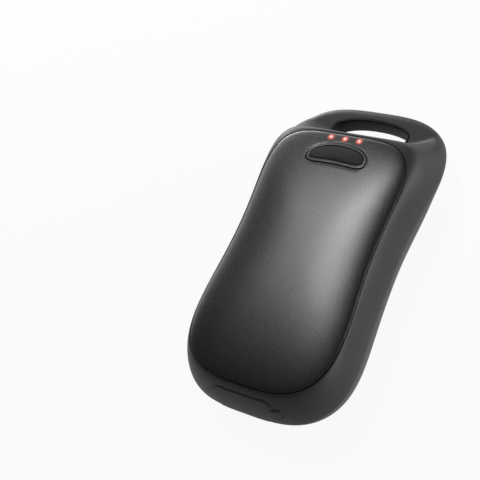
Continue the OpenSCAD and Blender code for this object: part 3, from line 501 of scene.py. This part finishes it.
def nearestLight(tree, place):
    # how far a point of the surface is from the nearest light's tip, in metres
    nearest = None
    for step in lightSteps:
        tip = (step * lightShape["pitch"] * 0.001, lightY * 0.001, (lightTop + bodyShape["restHeight"]) * 0.001)
        away = addNode(tree, "ShaderNodeVectorMath", {"operation": "DISTANCE", 1: tip}, {0: place})
        if nearest is None:
            nearest = away.outputs["Value"]
        else:
            least = addNode(
                tree, "ShaderNodeMath", {"operation": "MINIMUM"}, {0: nearest, 1: away.outputs["Value"]}
            )
            nearest = least.outputs[0]
    return nearest


def glowPaintedPanelMaterial():
    # the same blasted metal, with the red glow of the three lights painted on it as emission that fades with
    # distance from each tip: a painted glow, not light from the lamps
    material, tree, shader, place = blastedMaterial("sandBlastedAluminiumWithPaintedGlow")
    near = addNode(
        tree, "ShaderNodeMapRange",
        {
            "interpolation_type": "SMOOTHERSTEP", "From Min": lightShape["radius"] / 2 * 0.001,
            "From Max": lightShape["glowReach"] * 0.001, "To Min": 1.0, "To Max": 0.0,
        },
        {"Value": nearestLight(tree, place)},
    )
    soft = addNode(
        tree, "ShaderNodeMath", {"operation": "POWER", 1: lightShape["glowPower"]}, {0: near.outputs["Result"]}
    )
    tree.links.new(soft.outputs[0], shader.inputs["Emission Strength"])
    shader.inputs["Emission Color"].default_value = colourFrom(lightShape["glowColour"])
    return material


blastedFront = glowPaintedPanelMaterial()

# Anodised aluminium bezel: finer grained than the panel and a little darker, with a clean cut edge
bezelAluminium = grainedMaterial(
    "anodisedAluminiumBezel", "#3c3c3d", "#484849", 5, 0.3, 0.004, (0.32, 0.38), {"Metallic": 1.0},
)

# Satin ABS of the button: nearly black and duller than the rubber, from a sparked mould
satinAbs = grainedMaterial(
    "satinMouldedAbs", "#101011", "#151516", 8, 0.35, 0.008, (0.6, 0.66), {"Specular IOR Level": 0.25},
)


def lampMaterial():
    # Diffusing acrylic light tip: a pale hot middle that turns red-orange at the rim
    material, tree, shader, place = startMaterial(
        "litDiffusingAcrylic", {"Roughness": 0.3, "Emission Strength": 1.0}
    )
    share = addNode(
        tree, "ShaderNodeMath", {"operation": "MULTIPLY", 1: perMetre(lightShape["radius"])},
        {0: nearestLight(tree, place)},
    )
    paint = addNode(
        tree, "ShaderNodeValToRGB", {}, {"Fac": share.outputs[0]}, ((0.15, "#ffe4da"), (0.9, "#ff8a70"))
    )
    for socket in ("Base Color", "Emission Color"):
        tree.links.new(paint.outputs["Color"], shader.inputs[socket])
    return material


lampAcrylic = lampMaterial()

# Inner finishes, seen when the port cover is open or the part is taken to pieces: two tones, the sizes of
# patch and grain and the depth of the grain in millimetres, the range of roughness, and other sockets
innerLooks = {
    # moulded polycarbonate of the battery holder: pale grey, even
    "mouldedPolycarbonate": ("#bcbcb6", "#c6c6c0", 9, 0.5, 0.006, (0.45, 0.55), {}),
    # heat-proof PPS plastic of the panel carriers: mid grey with a glass-fibre mottle
    "glassFilledCarrier": ("#a4a6a8", "#b2b4b8", 2, 0.4, 0.012, (0.5, 0.62), {}),
    # translucent silicone seal: soft grey, slightly waxy
    "castSilicone": ("#84888c", "#92969a", 4, 0.6, 0.01, (0.35, 0.45), {"Subsurface Weight": 0.1}),
    # etched heating foil under amber polyimide film
    "polyimideFilm": ("#b4691c", "#d08a34", 1.2, 0.3, 0.01, (0.25, 0.35), {"Coat Weight": 0.3}),
    # needled insulating felt: off-white, fibrous
    "needledFelt": ("#d2d0c6", "#e8e6dc", 0.8, 0.25, 0.08, (0.85, 0.95), {"Sheen Weight": 0.3}),
    # moulded clear light guide: a frosted look from its grained faces
    "frostedAcrylic": ("#dfe6e8", "#eef2f2", 6, 0.5, 0.006, (0.25, 0.35), {"Transmission Weight": 0.5}),
    # solder-masked glass epoxy board: dark green with a faint weave
    "solderMaskedBoard": ("#0e3a20", "#15502c", 1.4, 0.4, 0.008, (0.3, 0.42), {"Coat Weight": 0.2}),
    # black moulded epoxy of chips, switch and connector tongues
    "mouldedEpoxy": ("#161617", "#202022", 3, 0.3, 0.01, (0.5, 0.62), {}),
    # acetal plunger: creamy white, smooth
    "mouldedAcetal": ("#dcd8c8", "#e6e2d4", 5, 0.5, 0.004, (0.3, 0.38), {}),
    # PVC sleeve shrunk over a steel can: blue with a soft gloss
    "shrunkPvcSleeve": ("#2a4a86", "#34589a", 12, 1.2, 0.02, (0.28, 0.36), {"Coat Weight": 0.2}),
    # nickel-plated steel of strips, shells and screws
    "nickelPlatedSteel": ("#b4b4b2", "#c8c8c6", 4, 0.4, 0.004, (0.22, 0.34), {"Metallic": 1.0}),
    # sintered ferrite of the coil: near black, fine grained
    "sinteredFerrite": ("#222224", "#303032", 2, 0.3, 0.02, (0.6, 0.72), {}),
    # PVC wire insulation in three colours: satin
    "redPvcWire": ("#a01818", "#b42020", 6, 0.5, 0.004, (0.35, 0.45), {}),
    "whitePvcWire": ("#d4d4d2", "#e0e0de", 6, 0.5, 0.004, (0.35, 0.45), {}),
    "blackPvcWire": ("#1a1a1c", "#242426", 6, 0.5, 0.004, (0.35, 0.45), {}),
}
innerMaterials = {name: grainedMaterial(name, *look) for name, look in innerLooks.items()}
innerMaterials["softTouchMouldedRubber"] = softTouchRubber
innerMaterials["mouldedNylonFrame"] = frameNylon

innerNodes = {
    "core_frame": "mouldedNylonFrame",
    "cover_anchor": "softTouchMouldedRubber",
    "front_seal": "castSilicone",
    "rear_seal": "castSilicone",
    "bezel_gasket": "castSilicone",
    "front_carrier": "glassFilledCarrier",
    "rear_carrier": "glassFilledCarrier",
    "front_heater": "polyimideFilm",
    "rear_heater": "polyimideFilm",
    "ribbon_cable": "polyimideFilm",
    "front_insulation": "needledFelt",
    "rear_insulation": "needledFelt",
    "light_guide": "frostedAcrylic",
    "button_board": "solderMaskedBoard",
    "main_board": "solderMaskedBoard",
    "switch_body": "mouldedEpoxy",
    "board_chips": "mouldedEpoxy",
    "usb_a_tongue": "mouldedEpoxy",
    "usb_c_tongue": "mouldedEpoxy",
    "switch_plunger": "mouldedAcetal",
    "left_cell": "shrunkPvcSleeve",
    "right_cell": "shrunkPvcSleeve",
    "battery_holder": "mouldedPolycarbonate",
    "cell_strips": "nickelPlatedSteel",
    "usb_a_shell": "nickelPlatedSteel",
    "usb_c_shell": "nickelPlatedSteel",
    "screws": "nickelPlatedSteel",
    "power_inductor": "sinteredFerrite",
    "battery_leads": "redPvcWire",
    "heater_leads": "whitePvcWire",
    "thermistors": "blackPvcWire",
}
for node, finish in innerNodes.items():
    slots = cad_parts[node].data.materials
    slots.clear()
    slots.append(innerMaterials[finish])
print("materials made")

# Rubber cover: one moulded skin from seam to seam, cut for the finger hole and the port window

stations = []
for i in range(bodyShape["turnSteps"]):
    turn = 360 * i / bodyShape["turnSteps"]
    outside = skinShares(turn, 0)
    inside = skinShares(turn, bodyShape["coverWall"])
    station = [skinPoint(turn, share, 1, 0) for share in reversed(outside)]
    station += [skinPoint(turn, share, -1, 0) for share in outside[1:]]
    station += [skinPoint(turn, share, -1, bodyShape["coverWall"]) for share in reversed(inside)]
    station += [skinPoint(turn, share, 1, bodyShape["coverWall"]) for share in inside[1:]]
    stations.append(station)
coverMesh = bmesh.new()
addLoft(coverMesh, [list(ring) for ring in zip(*stations)], joined=True)
skinTree = BVHTree.FromBMesh(coverMesh)
outerCover = objectFrom(coverMesh, "outerCover")
clearOfEnd = -90.0  # a place below the lower end, from which the skin is felt for


def skinEnd(x, z):
    hit = skinTree.ray_cast(Vector((x, clearOfEnd, z)), Vector((0, 1, 0)))[0]
    return hit.y


def holeOutline(grow):
    points = []
    steps = holeShape["turnSteps"]
    square = holeShape["squareness"]
    low = holeLow - grow
    for i in range(steps):
        turn = math.radians(360 * (i + 0.5) / steps)
        x = (holeShape["half"] + grow) * bent(math.cos(turn), square)
        bow = holeShape["width"] * holeShape["bowShare"] * (x / holeShape["half"]) ** 2
        points.append(Vector((x, blend(low, holeTop + grow - bow, (1 + bent(math.sin(turn), square)) / 2), 0)))
    return points


def holeRing(grow, height):
    return [point + Vector((0, 0, height)) for point in holeOutline(grow)]


ringSeat = holeShape["ringWall"] + holeShape["gap"]
ringTop = loopShape["half"] + holeShape["gap"]
ringMiddle = -loopShape["drop"]
seatSteps = (
    (0, -holeShape["cutPast"]), (0, ringMiddle - ringTop), (ringSeat, ringMiddle - ringTop),
    (ringSeat, ringMiddle + ringTop), (0, ringMiddle + ringTop), (0, holeShape["cutPast"]),
)
holeMesh = bmesh.new()
addLoft(holeMesh, closedAtEnds([holeRing(grow, height) for grow, height in seatSteps]))
fingerCutter = objectFrom(holeMesh, "fingerWay")

# the port window follows a rounded bar on the lower end
flapShape = {
    "mid": 0.3,
    "height": 5.0,
    "half": 12.4,
    "tall": 4.7,
    "corner": 4.0,
    "gap": 0.1,
    "wall": 1.7,
    "draft": 0.4,
    "proud": 0.3,
    "edgeRound": 0.3,
    "tabHalf": 2.15,
    "tabCorner": 0.86,
    "tabProud": 0.65,
    "tabRound": 0.35,
    "tabDeep": 0.1,
    "neckRound": 0.05,
    "innerShares": (0, 0.25, 0.5, 0.75, 1),
    "outerShares": (0.94, 0.86, 0.75, 0.6, 0.45, 0.3, 0.15, 0),
    "cornerSteps": 10,
    "longSteps": 24,
    "shortSteps": 4,
}
tabMid = flapShape["mid"] + flapShape["half"] + flapShape["tabHalf"] * 2 / 9


def barOutline(half, tall, corner, mid):
    # points of a rounded bar in x and z, straight runs divided so that it can follow the curved end
    points = []
    flat = Vector((2 * (half - corner), 0, 0))
    upright = Vector((0, 0, 2 * (tall - corner)))
    longSteps, shortSteps = flapShape["longSteps"], flapShape["shortSteps"]
    quarters = (
        (1, 1, -flat, longSteps), (-1, 1, -upright, shortSteps),
        (-1, -1, flat, longSteps), (1, -1, upright, shortSteps),
    )
    for quarter, (sideX, sideZ, run, steps) in enumerate(quarters):
        middle = Vector((mid + sideX * (half - corner), 0, flapShape["height"] + sideZ * (tall - corner)))
        for i in range(flapShape["cornerSteps"] + 1):
            turn = math.radians(90 * (quarter + i / flapShape["cornerSteps"]))
            points.append(middle + corner * Vector((math.cos(turn), 0, math.sin(turn))))
        start = points[-1].copy()
        points += [start + run * (i / steps) for i in range(1, steps)]
    return points


def onEnd(point, depth):
    return Vector((point.x, skinEnd(point.x, point.z) + depth, point.z))


def windowOutline(grow):
    more = flapShape["gap"] + grow
    return barOutline(
        flapShape["half"] + more, flapShape["tall"] + more, flapShape["corner"] + more, flapShape["mid"]
    )


windowMesh = bmesh.new()
windowRings = flareRings(
    windowOutline, onEnd, bodyShape["windowRound"], lambda point: Vector((point.x, panelBottom, point.z))
)
addLoft(windowMesh, closedAtEnds(windowRings))
windowCutter = objectFrom(windowMesh, "portWindow")
cutAway(outerCover, [fingerCutter, windowCutter])
settle(outerCover, softTouchRubber, "housing", ["outer_cover"])

# Hard ring that lines the finger hole

ringMesh = bmesh.new()
ringWall, ringHalf = holeShape["ringWall"], loopShape["half"]
ringCorner = roundSteps(holeShape["edgeRound"], quarterTilts)
ringProfile = [(ringWall, 0)]
for side in (1, -1):
    outer = [(ringWall - inward, side * (ringHalf - sunk)) for inward, sunk in ringCorner]
    inner = [(inward, side * (ringHalf - sunk)) for inward, sunk in reversed(ringCorner)]
    ringProfile += outer + inner if side > 0 else [(0, 0)] + inner[::-1] + outer[::-1]
addLoft(ringMesh, [holeRing(grow, ringMiddle + height) for grow, height in ringProfile], joined=True)
settle(objectFrom(ringMesh, "holeRing"), frameNylon, "housing", ["hole_ring"])

# Warm panels: pressed metal shells, crowned, with a rim folded into the rubber


def platePoint(turn, share, inset, drop, height, side):
    place = Vector((0, panelMid)).lerp(seamInward(turn, inset), share)
    rise = edgeHeight(place.y, side) - drop + crownHeight(share, height)
    return Vector((place.x, place.y, side * rise))


def ringShares(steps, power):
    return [1 - (1 - i / steps) ** power for i in range(steps + 1)]


def panelObject(name, side):
    turns = [360 * i / panelShape["turnSteps"] for i in range(panelShape["turnSteps"])]
    gap, wall, crown = panelShape["gap"], panelShape["wall"], panelShape["crown"]
    profile = [(share, gap, 0, crown) for share in ringShares(*panelShape["outerRings"])]
    profile += [(1, gap, panelShape["rim"], 0), (1, gap + wall, panelShape["rim"], 0)]
    profile += [(share, gap + wall, 0, crown - wall) for share in ringShares(*panelShape["innerRings"])[::-1]]
    mesh = bmesh.new()
    addLoft(mesh, [[platePoint(turn, *step, side) for turn in turns] for step in profile])
    return objectFrom(mesh, name)


buttonShape = {
    "half": 12.2,
    "width": 10.0,
    "drop": 9.9,
    "bowDivisor": 4.6,
    "power": 2.8,
    "turnSteps": 160,
    "holeRound": 0.3,
    "holeDeep": 6.0,
    "bezelRim": 1.1,
    "bezelProud": 0.16,
    "bezelRound": 0.2,
    "flange": 1.0,
    "flangeWall": 0.9,
    "gap": 0.15,
    "sunk": 0.05,  # how far the face's rim lies under the bezel
    "edgeRound": 0.4,
    "edgeTilts": (0, 18, 36, 54, 72, 90),
    "crown": 0.12,
    "crownShares": (0.85, 0.65, 0.45, 0.25, 0.1, 0),
    "wall": 1.15,
    "skirt": 0.65,
    "skirtWall": 1.2,
}
buttonY = panelTop - buttonShape["drop"]
buttonBow = buttonShape["width"] / buttonShape["bowDivisor"]


def kidneyOutline(less):
    points = []
    steps = buttonShape["turnSteps"]
    across = buttonShape["half"] - less
    tall = (buttonShape["width"] - buttonBow / 3) / 2 - less
    for i in range(steps):
        shareX, shareY = rimShares(360 * (i + 0.5) / steps, buttonShape["power"])
        x = across * shareX
        bow = buttonBow * (1 - (x / buttonShape["half"]) ** 2)
        points.append(Vector((x, buttonY - buttonBow / 2 + bow + tall * shareY, 0)))
    return points


def onPanel(point, depth):
    return Vector((point.x, point.y, panelHeight(point.x, point.y) - depth))


frontPanel = panelObject("frontPanel", 1)
buttonHoleMesh = bmesh.new()
buttonHoleRings = flareRings(
    lambda grow: kidneyOutline(-grow), onPanel, buttonShape["holeRound"],
    lambda point: onPanel(point, buttonShape["holeDeep"]),
)
addLoft(buttonHoleMesh, closedAtEnds(buttonHoleRings))
panelCutters = [objectFrom(buttonHoleMesh, "buttonHole")]
bore = lightShape["radius"] + lightShape["gap"]
mouth = bore + lightShape["flare"]
flareLow = lightTop - lightShape["flareDeep"]
boreSteps = ((bore, 0), (bore, flareLow), (mouth, lightTop), (mouth, lightShape["cutTop"]))
for step in lightSteps:
    pinHole = bmesh.new()
    loops = [roundRing(step * lightShape["pitch"], lightY, size, height) for size, height in boreSteps]
    addLoft(pinHole, closedAtEnds(loops))
    panelCutters.append(objectFrom(pinHole, "lightHole" + str(step + 2)))
cutAway(frontPanel, panelCutters)
settle(frontPanel, blastedFront, "housing", ["front_panel"])

rearPanel = panelObject("rearPanel", -1)
rearMesh = bmesh.new()
rearMesh.from_mesh(rearPanel.data)
restZ = -(bodyShape["rearEdge"] + panelShape["crown"] - panelShape["restFlat"])
cut = bmesh.ops.bisect_plane(
    rearMesh, geom=rearMesh.verts[:] + rearMesh.edges[:] + rearMesh.faces[:], dist=0.0001,
    plane_co=(0, 0, restZ), plane_no=(0, 0, -1), clear_outer=True,
)
rimEdges = [item for item in cut["geom_cut"] if isinstance(item, bmesh.types.BMEdge)]
bmesh.ops.edgeloop_fill(rearMesh, edges=rimEdges)
bmesh.ops.recalc_face_normals(rearMesh, faces=rearMesh.faces[:])
rearMesh.to_mesh(rearPanel.data)
rearMesh.free()
settle(rearPanel, blastedRear, "housing", ["rear_panel"])

# Bezel and button, both following the panel

flangeEnd = buttonY + buttonShape["width"] / 2 + buttonShape["flange"]
flangeTop = panelHeight(0, flangeEnd) - panelShape["wall"] - 2 * panelShape["gap"]
flangeLow = flangeTop - buttonShape["flangeWall"]
bezelOut = panelShape["gap"]
bezelIn = bezelOut + buttonShape["bezelRim"]


def flatRing(less, height):
    return [Vector((point.x, point.y, height)) for point in kidneyOutline(less)]


def topRing(less, drop):
    return [onPanel(point, drop - buttonShape["bezelProud"]) for point in kidneyOutline(less)]


bezelCorner = roundSteps(buttonShape["bezelRound"], quarterTilts)
bezelRings = [flatRing(-buttonShape["flange"], height) for height in (flangeLow, flangeTop)]
bezelRings.append(flatRing(bezelOut, flangeTop))
bezelRings += [topRing(bezelOut + inward, sunk) for inward, sunk in bezelCorner]
bezelRings += [topRing(bezelIn - inward, sunk) for inward, sunk in reversed(bezelCorner)]
bezelRings.append(flatRing(bezelIn, flangeLow))
bezelMesh = bmesh.new()
addLoft(bezelMesh, bezelRings, joined=True)
settle(objectFrom(bezelMesh, "buttonBezel"), bezelAluminium, "housing", ["button_bezel"])

buttonLess = bezelIn + buttonShape["gap"]
buttonLow = flangeLow - buttonShape["skirt"]
skirtLess = buttonLess + buttonShape["skirtWall"]
keyRings = []
for inward, sunk in roundSteps(buttonShape["edgeRound"], buttonShape["edgeTilts"]):
    keyRings.append(topRing(buttonLess + inward, buttonShape["sunk"] + sunk))
faceRing = keyRings[-1]
faceMiddle = onPanel(Vector((0, buttonY, 0)), buttonShape["sunk"] - buttonShape["bezelProud"])
for share in buttonShape["crownShares"]:
    rise = Vector((0, 0, buttonShape["crown"] * (1 - share * share)))
    keyRings.append([faceMiddle.lerp(point, share) + rise for point in faceRing])
underMiddle = faceMiddle - Vector((0, 0, buttonShape["wall"]))
underRings = [[underMiddle for point in faceRing], topRing(skirtLess, buttonShape["wall"])]
skirtRings = [flatRing(skirtLess, buttonLow), flatRing(buttonLess, buttonLow)]
keyMesh = bmesh.new()
addLoft(keyMesh, underRings + skirtRings + keyRings)
settle(objectFrom(keyMesh, "powerButton"), satinAbs, "button", ["power_button"])

# Indicator lights: three domed pins

pinMesh = bmesh.new()
for step in lightSteps:
    rings = []
    for size, height in lightShape["tip"]:
        reach = size * lightShape["radius"]
        rings.append(roundRing(step * lightShape["pitch"], lightY, reach, lightTop + height))
    addLoft(pinMesh, rings)
settle(objectFrom(pinMesh, "lightPins"), lampAcrylic, "housing", ["indicator_lights"])

# Port cover: a rubber flap that stands a little proud, with two plugs, and a raised pull tab on a neck

plugShape = {
    "coverDeep": 2.05,
    "portSet": 3.0,  # how far the ports' mouths lie behind the rubber
    "root": 0.85,
    "lead": 0.3,
    # middle across and up, half width, half height and corner of each plug
    "plugs": ((-4.8, 5.0, 5.9, 2.2, 0.3), (7.72, 3.78, 3.82, 0.98, 0.97)),
}


def plateRings(half, tall, corner, mid, outer, inner, rounding, draft):
    # from the middle of the inner face, out round the edge, to the middle of the outer face
    middle = Vector((mid, 0, flapShape["height"]))

    def ring(less, share, depth):
        outline = barOutline(half - less, tall - less, corner - less, mid)
        return [onEnd(middle.lerp(point, share), depth) for point in outline]

    rings = [ring(draft, share, inner) for share in flapShape["innerShares"]]
    rings += [ring(inward, 1, outer + sunk) for inward, sunk in roundSteps(rounding, quarterTilts)]
    rings += [ring(rounding, share, outer) for share in flapShape["outerShares"]]
    return rings


tabHalf, tabCorner, tabProud = flapShape["tabHalf"], flapShape["tabCorner"], flapShape["tabProud"]
plates = (
    # the flap, the tab and the neck between them
    (
        flapShape["half"], flapShape["tall"], flapShape["corner"], flapShape["mid"],
        -flapShape["proud"], flapShape["wall"], flapShape["edgeRound"], flapShape["draft"],
    ),
    (tabHalf, tabHalf, tabCorner, tabMid, -tabProud, flapShape["tabDeep"], flapShape["tabRound"], 0),
    (
        tabHalf / 3, tabHalf * 2 / 3, tabCorner / 2, tabMid - tabHalf * 2 / 3,
        -tabProud / 8, flapShape["wall"] / 2, flapShape["neckRound"], 0,
    ),
)
flapMesh = bmesh.new()
for plate in plates:
    addLoft(flapMesh, plateRings(*plate))
portMouth = -halfLength + plugShape["coverDeep"] + plugShape["portSet"]
lead = plugShape["lead"]
for middleX, middleZ, half, tall, corner in plugShape["plugs"]:
    rings = []
    lowered = Vector((0, 0, middleZ - flapShape["height"]))
    for less, y in ((0, None), (0, portMouth + lead), (lead, portMouth + 2 * lead)):
        outline = barOutline(half - less, tall - less, max(0.01, corner - less), middleX)
        ring = [onEnd(point + lowered, plugShape["root"]) for point in outline]
        for point in ring if y is not None else ():
            point.y = y
        rings.append(ring)
    addLoft(flapMesh, closedAtEnds(rings))
settle(objectFrom(flapMesh, "portCover"), softTouchRubber, "flap", ["port_cover"])

# Stage, lamps and camera

paperShape = {
    # white paper that turns up into a low wall all round: reach and height of each ring in metres
    "rings": ((0, 0), (2.1, 0), (2.3, 0.03), (2.42, 0.1), (2.5, 0.3), (2.5, 0.8)),
    "turnSteps": 60,
    "colour": "#f4f4f4",
    "roughness": 0.9,
    "whiteShare": 0.92,  # the rest keeps the object's shadow
}
paperRings = [roundRing(0, 0, reach, height, paperShape["turnSteps"]) for reach, height in paperShape["rings"]]
floorMesh = bmesh.new()
addLoft(floorMesh, paperRings)
floor = objectFrom(floorMesh, "floor")
floor.data.shade_smooth()
floorMaterial, floorTree, floorShader = startMaterial(
    "paleMattePaper", {"Roughness": paperShape["roughness"], "Base Color": colourFrom(paperShape["colour"])}
)[:3]
rays = addNode(floorTree, "ShaderNodeLightPath")
seen = rays.outputs["Is Camera Ray"]
for kind in ("Is Glossy Ray", "Is Transmission Ray"):
    most = addNode(floorTree, "ShaderNodeMath", {"operation": "MAXIMUM"}, {0: seen, 1: rays.outputs[kind]})
    seen = most.outputs[0]
share = addNode(floorTree, "ShaderNodeMath", {"operation": "MULTIPLY", 1: paperShape["whiteShare"]}, {0: seen})
white = addNode(floorTree, "ShaderNodeEmission", {"Color": (1, 1, 1, 1), "Strength": 1.0})
both = addNode(
    floorTree, "ShaderNodeMixShader", {},
    {"Fac": share.outputs[0], 1: floorShader.outputs[0], 2: white.outputs[0]},
)
floorTree.links.new(both.outputs[0], floorTree.nodes["Material Output"].inputs["Surface"])
floor.data.materials.append(floorMaterial)

lampValues = {
    # place in metres, size in metres, power in watts
    "overheadSoftbox": {"place": (-0.229, 0.273, 0.716), "size": (0.174, 0.05), "power": 1.75},
    "leftSoftbox": {"place": (-0.388, 0.344, 0.193), "size": (0.93, 0.16), "power": 1.4},
    "edgeSoftbox": {"place": (-0.45, 0.48, 0.05), "size": (0.3, 0.08), "power": 2.6},
    "rightSoftbox": {"place": (0.614, 0.188, 0.129), "size": (0.85, 0.08), "power": 5.5},
}
lampAim = Vector((0, 0, 0.015))  # the middle of the part
for name, values in lampValues.items():
    lamp = bpy.data.lights.new(name, "AREA")
    lamp.shape = "RECTANGLE"
    lamp.size, lamp.size_y = values["size"]
    lamp.energy = values["power"]
    stand = bpy.data.objects.new(name, lamp)
    stand.location = values["place"]
    stand.rotation_euler = (lampAim - Vector(values["place"])).to_track_quat("-Z", "Y").to_euler()
    bpy.context.scene.collection.objects.link(stand)

worldValues = {"Color": (1, 1, 1, 1), "Strength": 0.07}
world = bpy.data.worlds.new("studio")
world.use_nodes = True
for socket, value in worldValues.items():
    world.node_tree.nodes["Background"].inputs[socket].default_value = value
bpy.context.scene.world = world
bpy.context.scene.view_settings.view_transform = "Standard"

cameraValues = {
    "place": (0.13412, -0.09681, 0.26315),
    "right": (0.8677, 0.3777, -0.3233),
    "up": (-0.2115, 0.8689, 0.4476),
    "back": (0.4499, -0.32, 0.8338),
    "lens": 61.41,
    "sensor": 36.0,
    "shift": (-0.1576, 0.0282),
    "clipStart": 0.01,
}
cameraData = bpy.data.cameras.new("photoCamera")
cameraData.lens = cameraValues["lens"]
cameraData.sensor_width = cameraValues["sensor"]
cameraData.shift_x, cameraData.shift_y = cameraValues["shift"]
cameraData.clip_start = cameraValues["clipStart"]
camera = bpy.data.objects.new("photoCamera", cameraData)
turned = Matrix((cameraValues["right"], cameraValues["up"], cameraValues["back"])).transposed()
camera.matrix_world = Matrix.Translation(cameraValues["place"]) @ turned.to_4x4()
bpy.context.scene.collection.objects.link(camera)
bpy.context.scene.camera = camera
print("stage, lamps and camera made")
